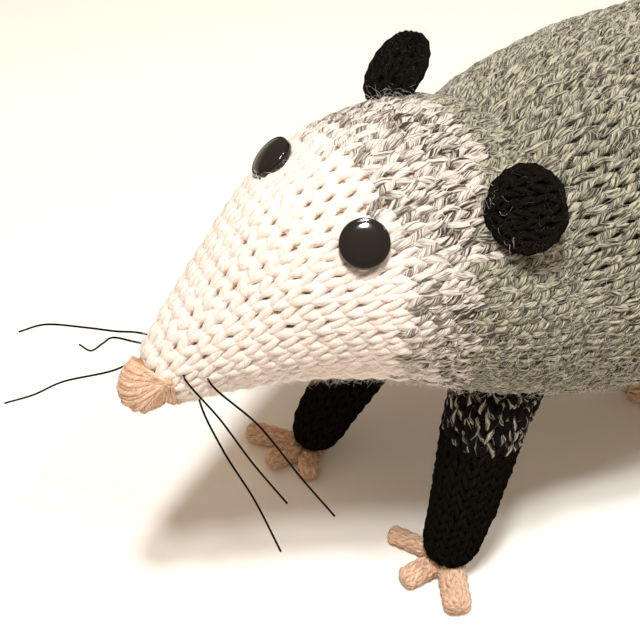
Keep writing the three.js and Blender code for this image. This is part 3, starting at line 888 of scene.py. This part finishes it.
# The ears: flat rounds of black wool, doubled and sewn on edge at the back of the head, a little
# before the crease of the neck.
EAR_THICK, EAR_RADIUS = 2.9, 12.2
EARS = [   # place, the way the front looks, the way from root to tip, width and height in ear radii
    ("ear_left", (32.3, 21.2, 145.2), (0.43, -0.47, 0.77), (0.54, 0.81, 0.24), 0.96, 0.87),
    ("ear_right", (-31.8, 23.0, 146.4), (-0.1, -0.62, 0.77), (-0.52, 0.72, 0.46), 0.88, 1.03),
]


EAR_ROUND_HEIGHT = 3.9
EAR_STITCH = dict(width=4.0, thickness=1.0, depth=0.4)
ear_skins = []
for number, (ear, at, facing, up, wide, tall) in enumerate(EARS):
    front = np.array(facing) / np.linalg.norm(facing)
    side = np.cross(up, front)
    side /= np.linalg.norm(side)
    top = np.cross(front, side)

    def ear_skin(along, turn, at=np.array(at), front=front, side=side, top=top, wide=wide, tall=tall):
        along, turn = np.broadcast_arrays(np.radians(along), np.radians(turn))
        ring = np.cos(along) ** np.where(along < 0, 1.2, 0.8)
        across = EAR_RADIUS * wide * ring * np.cos(turn)
        thick = EAR_THICK * ring**0.5 * np.sin(turn)
        return (at + across[..., None] * side + thick[..., None] * front
                + (EAR_RADIUS * tall * np.sin(along))[..., None] * top)

    ear_skins.append(ear_skin)
    stations = even_stations(ear_skin, -84, 84, EAR_ROUND_HEIGHT)
    rounds = knit_rounds(ear_skin, stations, one_yarn, seed=SEED + 40 + number, **EAR_STITCH)
    piece = knitted("knitted_" + ear, ear_skin, rounds, -80, 80, [black, stuffing_black], 1,
                    core_depth=1.7, sides=5)
    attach(piece, "root")
    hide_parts(ear)


# The nose: the end of the snout covered with long stitches of peach yarn over a little stuffing.
# They gather at a corner on each cheek; most run across, and slanting ones fan out over them.
NOSE_HALF = np.array([7.4, 7.0, 7.4])         # half sizes of its ball: wide, tall, deep
NOSE_AT = (1.7, 2.2)                          # its middle: out from the snout's end, and up
NOSE_YARN = 0.72
NOSE_CORNERS = [(-64.4, 35), (-69.2, 150)]    # where the stitches gather: station and turn on the snout
UPPER_EDGE, LOWER_EDGE = (-67.7, 84), (-67.2, -92)   # where the first and the last stitch lie
END_RADIUS, END_WIDENS = 8.1, 0.5             # of the snout's end, and how much it widens behind it
LAID_STITCHES = 25
LAID_SUNK, LAID_UNEVEN = 0.55, 0.12           # how deep the yarn's middle lies, and how that varies
CORNER_STRAY, CORNER_DROP = (0.5, 0.4, 0.5), (0, 0, 0.2)     # how loosely the ends gather, and hang
LAID_MOVES_ON, LAID_STEP = 5.0, 1.1           # yarn between stitches and between two of their points
LAID_EDGE = 0.03                              # where its first point lies between the corners, as a share
AT_CORNER = 0.2                               # the share of a stitch that bends to its corner
TUCK_FROM, TUCK_DEPTH = 0.75, 1.6             # where a slanting stitch starts to go in, and how deep
lean = math.radians(BODY[0, 2])
nose_out = np.array([0, -math.cos(lean), -math.sin(lean)])
nose_up = np.array([0, -math.sin(lean), math.cos(lean)])
nose_side = np.array([1.0, 0, 0])
snout_end = np.array([0, BODY[0, 0], BODY[0, 1]])
nose_middle = snout_end + nose_out * NOSE_AT[0] + nose_up * NOSE_AT[1]


def on_nose(ways):
    """Points on the nose's ball in the given directions (side, up, out)."""
    ways = ways / np.linalg.norm(ways, axis=-1, keepdims=True)
    local = ways * NOSE_HALF
    return (nose_middle + local[..., :1] * nose_side + local[..., 1:2] * nose_up
            + local[..., 2:] * nose_out)


def nose_skin(along, turn):
    along, turn = np.broadcast_arrays(np.radians(along), np.radians(turn))
    return on_nose(np.stack([np.cos(along) * np.cos(turn), np.cos(along) * np.sin(turn),
                             np.sin(along)], -1))


def stretched_over(starts, way):
    """The farthest points of ball or snout's end from each start, as taut yarn lies on them."""
    reach = np.linspace(0, 22, 221)
    points = starts[:, None] + reach[None, :, None] * way
    frame_ways = np.stack([nose_side, nose_up, nose_out])
    in_ball = ((((points - nose_middle) @ frame_ways.T) / NOSE_HALF) ** 2).sum(-1) < 1
    side, up, out = np.moveaxis((points - snout_end) @ frame_ways.T, -1, 0)
    in_snout = (out < 0) & (np.hypot(side, up) < END_RADIUS - END_WIDENS * out)
    inside = in_ball | in_snout
    far = reach[np.where(inside.any(axis=1), inside.shape[1] - 1 - inside[:, ::-1].argmax(axis=1), 0)]
    for _ in range(3):
        far[1:-1] = (far[:-2] + 2 * far[1:-1] + far[2:]) / 4
    return starts + far[:, None] * way


left_corner, right_corner = (body_skin(np.array(station), np.array(turn)) for station, turn in NOSE_CORNERS)
between = right_corner - left_corner
between /= np.linalg.norm(between)


def way_to(station, turn):
    """The way from the line between the corners to a point of the snout's skin, square to it."""
    way = body_skin(np.array(station), np.array(turn)) - left_corner
    way = way - between * (way @ between)
    return way / np.linalg.norm(way)


first_way, last_way = way_to(*UPPER_EDGE), way_to(*LOWER_EDGE)
ahead = nose_out - between * (nose_out @ between)
ahead /= np.linalg.norm(ahead)
above = np.cross(between, ahead)
above *= np.sign(above @ first_way)
angles = [math.atan2(way @ above, way @ ahead) for way in (first_way, last_way)]
SLANTING = [   # the direction each passes, where it goes in, how high it lies; all start at the left corner
    ((0.75, -0.6, 0.8), (-0.1, -1.0, -0.1), 0.3), ((0.6, -0.35, 1.0), (-0.4, -1.0, 0.0), 0.6),
    ((0.95, -0.8, 0.4), (0.3, -1.0, -0.2), 0.4), ((0.5, -0.1, 1.1), (-0.7, -0.85, 0.1), 0.6),
    ((0.4, 0.25, 1.1), (-0.95, -0.5, 0.1), 0.5), ((1.0, -0.45, 0.15), (0.6, -0.9, -0.3), 0.6),
    ((1.0, -0.2, 0.05), (0.85, -0.7, -0.3), 0.4), ((0.55, -0.5, 1.0), (-0.25, -1.0, 0.1), 0.8),
]
laid = []
chance = np.random.default_rng(SEED + 50)
s = np.linspace(0, 1, 26)
stitches = LAID_STITCHES + len(SLANTING)
for number in range(stitches):
    if number < LAID_STITCHES:
        share = number / (LAID_STITCHES - 1)
        angle = angles[0] * (1 - share) + angles[1] * share
        starts = left_corner + (right_corner - left_corner) * (s[:, None] * (1 - 2 * LAID_EDGE) + LAID_EDGE)
        place = stretched_over(starts, math.cos(angle) * ahead + math.sin(angle) * above)
        lift, corner_ends = 0.1 + 0.25 * (number % 2), ((s, left_corner), (1 - s, right_corner))
    else:
        middle, end, lift = SLANTING[number - LAID_STITCHES]
        ways = (np.array([1.0, 0.45, -0.45]) * ((1 - s) ** 2)[:, None]
                + 4 * np.array(middle) * (s * (1 - s))[:, None] + np.array(end) * (s**2)[:, None])
        place = on_nose(ways)
        corner_ends = ((s, left_corner),)
    normal = place - nose_middle
    normal /= np.linalg.norm(normal, axis=1, keepdims=True)
    tucked = np.clip((s - TUCK_FROM) / (1 - TUCK_FROM), 0, 1) * (number >= LAID_STITCHES)
    rise = lift * np.sin(np.pi * s) - TUCK_DEPTH * tucked
    place = place + normal * (LAID_UNEVEN * chance.normal() - LAID_SUNK + rise)[:, None]
    for from_end, corner in corner_ends:
        pull = np.clip(1 - from_end / AT_CORNER, 0, 1)[:, None] ** 1.5
        aside = np.array(CORNER_STRAY) * chance.normal(0, 1, 3) - CORNER_DROP
        place = place * (1 - pull) + (corner + aside) * pull
    size = NOSE_YARN * (0.75 + 0.3 * np.sin(np.pi * s)) * MM
    step = np.arange(len(s))
    laid.append(dict(closed=False, place=place, size=size, distance=step * LAID_STEP + number * LAID_MOVES_ON,
                     lap=OPEN_LAP, part=step / len(s), root_u=number / (stitches + 1) * MAP_SHARE,
                     root_v=0.02, patch_u=0.024, patch_v=PATCH_TALL, yarn=0.0))
piece = stuffed("stitched_nose", laid, core_mesh(nose_skin, -60, 86, 0.8, sides=32, rings=12), PEACH_YARNS,
                1, sides=7)
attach(piece, "root")
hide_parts("nose")


# The eyes: round black buttons of polished plastic with a turned rim and a low dome, sewn
# tight to the head by the shank behind.
BUTTON_PROFILE = [   # distance from the middle, height over the seat
    (0, 0.3), (5.3, 0.3), (5.9, 0.45), (6.25, 0.85), (6.35, 1.35), (6.35, 2.5), (6.27, 2.85),
    (6.05, 3.1), (5.8, 3.16), (5.62, 3.1), (5.45, 3.14), (5.1, 3.26), (4.5, 3.38), (3.5, 3.47),
    (2.4, 3.52), (1.2, 3.55), (0, 3.56),
]
BUTTON_SIDES = 96
EYES = [   # station and turn on the head, the way it looks, how deep its back lies in the wool
    ("eye_left", -7.5, 56.5, (0.55, -0.35, 0.76), 0.75),
    ("eye_right", -11, 118, (-0.33, -0.6, 0.73), 1.2),
]
# cast black plastic with a polished top, so it shows the lamps as sharp highlights
polish = plain("polished_black_plastic", "#0d0b0a", 0.09, in_Coat_Weight=0.3)
for eye, station, turn, facing, depth in EYES:
    normal = np.array(facing) / np.linalg.norm(facing)
    seat = body_skin(np.array(station), np.array(turn)) - normal * depth
    side = np.cross([0, 0, 1], normal)
    side /= np.linalg.norm(side)
    other = np.cross(normal, side)
    bottom, *rings, top = BUTTON_PROFILE
    angles = -2 * np.pi * np.arange(BUTTON_SIDES)[:, None] / BUTTON_SIDES
    points = np.concatenate([seat + normal * up + side * out * np.cos(angles) + other * out * np.sin(angles)
                             for out, up in rings] + [[seat + normal * up] for _, up in (bottom, top)])
    mesh = ringed_mesh(eye, points, BUTTON_SIDES)
    mesh.materials.append(polish)
    piece = new_object("button_" + eye, mesh)
    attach(piece, "root")
    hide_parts(eye)


# The whiskers: six lengths of waxed black thread, knotted inside the snout and stiff enough to
# stand out in loose curves.
WHISKER_RADIUS = 0.29
WHISKERS = {
    "left_1": [(5, -60, 104), (10.4, -64.3, 108.6), (20, -59.3, 98.7), (30, -55.7, 90), (40, -51, 81)],
    "left_2": [(4, -58, 101), (9.5, -60.4, 96), (19, -59, 85), (29, -55.3, 72.3), (39.5, -53.2, 60)],
    "left_3": [(6, -54, 105), (13.8, -59, 107.7), (24, -50.5, 95.5), (34, -43.5, 80), (44, -39, 72)],
    "right_1": [(-5, -60, 105), (-10.5, -67.5, 107.5), (-17, -72, 104.5), (-25.5, -77.5, 101),
                (-35, -86, 98), (-44, -92, 90)],
    "right_2": [(-4, -60, 103), (-10.2, -69, 105), (-16, -73, 103.5), (-23, -74.5, 95.5),
                (-30, -76.5, 87), (-37, -77.5, 83.5)],
    "right_3": [(-5, -60, 101), (-10.5, -68, 98), (-14.5, -75, 93), (-26, -87, 83.5),
                (-34, -94, 74), (-45, -101, 63)],
}
# black thread dulled by its wax, with hardly a shine
thread = plain("waxed_black_thread", "#030203", 0.6, in_Specular_IOR_Level=0.08)
for whisker, points in WHISKERS.items():
    line, _ = smooth_path(points, samples=14)
    strand = dict(closed=False, place=line, size=WHISKER_RADIUS * MM)
    made = through_tree("whisker_" + whisker, path_mesh("whisker", [strand]), swept_strand,
                        Sides=8, Strand=thread)
    drop_attributes(made)
    piece = new_object("thread_whisker_" + whisker, made)
    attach(piece, "root")
    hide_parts("whisker_" + whisker)


# The halo of the wool: single fibres that stand off every knitted part, each a thin curl rooted
# in the skin. They are cream over the face, light and dark over the body, and as the yarn below
# on legs, ears, feet and tail; the dust-pale ones sit on the black.
FIBRE_THICK = 0.03            # half a fibre's thickness, in millimetres
FIBRE_TAPER = 0.7             # how much of that is gone at its tip
FIBRE_LENGTH = 4.6
FIBRE_BENDS = [   # middle and end of each kind of curl, in fibre lengths, z away from the skin
    ((0.30, 0.05, 0.42), (0.72, 0.22, 0.34)),
    ((0.42, -0.30, 0.30), (0.55, 0.25, 0.52)),
    ((0.20, 0.35, 0.36), (0.62, 0.05, 0.12)),
]


def fibre_tree():
    """Geometry nodes that scatter curled fibres over a skin."""
    tree, given = new_tree("loose_fibres", [
        ("Skin", "Geometry", None), ("Density", "Float", 1e5), ("Length", "Float", 1.0),
        ("Thickness", "Float", 1.0), ("Seed", "Int", SEED), ("Wool", "Material", None)], "Fibres")
    scatter = add_node(tree, "GeometryNodeDistributePointsOnFaces",
                       [("Mesh", given["Skin"]), ("Density", given["Density"]), ("Seed", given["Seed"])])
    slim = reckon(tree, "DIVIDE", given["Thickness"], given["Length"])
    ring = add_node(tree, "GeometryNodeCurvePrimitiveCircle", [("Radius", slim)], in_Resolution=3)
    where = add_node(tree, "GeometryNodeSplineParameter").outputs["Factor"]
    around = stored(tree, "around", ring.outputs["Curve"], where)
    taper = reckon(tree, "MULTIPLY_ADD", where, -FIBRE_TAPER, 1.0)
    kinds = add_node(tree, "GeometryNodeJoinGeometry")
    for middle, end in FIBRE_BENDS:
        curl = add_node(tree, "GeometryNodeCurveQuadraticBezier", in_Resolution=3, in_Start=(0, 0, 0),
                        in_Middle=middle, in_End=end)
        part = stored(tree, "part", curl.outputs["Curve"], where)
        swept = add_node(tree, "GeometryNodeCurveToMesh",
                         [("Curve", part), ("Profile Curve", around), ("Scale", taper)], in_Fill_Caps=True)
        kind = add_node(tree, "GeometryNodeGeometryToInstance", [("Geometry", swept.outputs["Mesh"])])
        tree.links.new(kinds.inputs["Geometry"], kind.outputs["Instances"])
    pick = add_node(tree, "FunctionNodeRandomValue", data_type="INT", in_4=0, in_5=len(FIBRE_BENDS) - 1,
                    in_Seed=SEED)
    turn = add_node(tree, "FunctionNodeRandomValue", data_type="FLOAT_VECTOR", in_0=(-0.3, -0.3, 0),
                    in_1=(0.3, 0.3, 2 * math.pi), in_Seed=SEED + 1)
    size = add_node(tree, "FunctionNodeRandomValue", in_2=0.45, in_3=1.35, in_Seed=SEED + 2)
    shade = add_node(tree, "FunctionNodeRandomValue", in_Seed=SEED + 3)
    turned = add_node(tree, "FunctionNodeRotateRotation", [("Rotation", scatter.outputs["Rotation"]),
                      ("Rotate By", turn.outputs[0])], rotation_space="LOCAL")
    planted = add_node(tree, "GeometryNodeInstanceOnPoints",
                       [("Points", scatter.outputs["Points"]), ("Instance", kinds.outputs["Geometry"]),
                        ("Instance Index", pick.outputs[2]), ("Rotation", turned.outputs["Rotation"]),
                        ("Scale", reckon(tree, "MULTIPLY", size.outputs[1], given["Length"]))],
                       in_Pick_Instance=True)
    shaded = stored(tree, "shade", planted.outputs["Instances"], shade.outputs[1], domain="INSTANCE")
    return finish_tree(tree, shaded, given["Wool"], "Fibres")


loose_fibres = fibre_tree()
FIBRE_PATCH = 0.003           # how much of the bake map one fibre takes


def fibre_wool(name, light, dark):
    """Single wool fibres, each of one shade between two colours, and smoother than the yarn."""
    material = new_material(name)
    tree = material.node_tree
    shade, _ = yarn_place(tree)
    cover(tree, [("Base Color", mixture(tree, shade, dark, light))], in_Roughness=0.7,
          in_Sheen_Weight=0.2, in_Specular_IOR_Level=0.3)
    return material


def fuzzy(name, material, patches):
    """One piece of loose fibres over patches of skin.

    Each patch is a skin, two stations, how many fibres a square millimetre has and how long they are,
    in shares of FIBRE_LENGTH.
    """
    parts = []
    for number, (skin, start, end, density, length) in enumerate(patches):
        source = core_mesh(skin, start, end, 0.5, sides=36, rings=20)
        made = through_tree(name, source, loose_fibres, Density=density * 1e6,
                            Length=length * FIBRE_LENGTH * MM, Thickness=FIBRE_THICK * MM,
                            Seed=SEED + number, Wool=material)
        _, shade, part, around, root_u, root_v = at_corners(made, "shade", "part", "around", "root_u",
                                                            "root_v")
        drop_attributes(made)
        for old in [layer.name for layer in made.uv_layers]:
            made.uv_layers.remove(made.uv_layers[old])
        add_map(made, "Yarn", shade, part)
        add_map(made, "OFBake", root_u + FIBRE_PATCH * part, root_v + FIBRE_PATCH * around)
        wear(made, [material], 0)
        parts.append(made)
    piece = join_meshes(name, parts)
    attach(piece, "root")


cream_fibre = fibre_wool("cream_fibre", "#fff8ee", "#efe2d4")
grey_fibre = fibre_wool("grey_fibre", "#f3f0e8", "#85827a")
black_fibre = fibre_wool("black_fibre", "#2b2723", "#0b0908")
pale_fibre = fibre_wool("pale_fibre", "#f1ece4", "#b9b2a8")
peach_fibre = fibre_wool("peach_fibre", "#fbe0c6", "#d9a67d")
fuzzy("fuzz_face", cream_fibre, [(body_skin, -66, FACE_END + 1, 0.5, 0.8)])
fuzzy("fuzz_neck", grey_fibre, [(body_skin, FACE_END + 1, 92, 0.21, 1)])
fuzzy("fuzz_back", grey_fibre, [(body_skin, 92, 236, 0.16, 1)])
fuzzy("fuzz_black", black_fibre,
      [(skin, 3, length - 12, 0.22, 0.7) for skin, length in leg_skins]
      + [(skin, -74, 80, 0.5, 0.6) for skin in ear_skins])
fuzzy("fuzz_pale", pale_fibre,
      [(leg_skins[1][0], leg_skins[1][1] - 34, leg_skins[1][1] - 12, 0.1, 1.1),
       (leg_skins[0][0], leg_skins[0][1] - 26, leg_skins[0][1] - 14, 0.05, 1),
       (ear_skins[0], -70, -20, 0.1, 1), (ear_skins[1], -70, -35, 0.25, 1)])
fuzzy("fuzz_peach", peach_fibre,
      [(tail_skin, 3, tail_length * TAIL_ENDS[-1] - 3, 0.12, 0.8)]
      + [(toe, 1, reach - 1, 0.3, 0.6) for toe, reach in toe_skins]
      + [(nose_skin, -20, 85, 0.3, 0.6)])
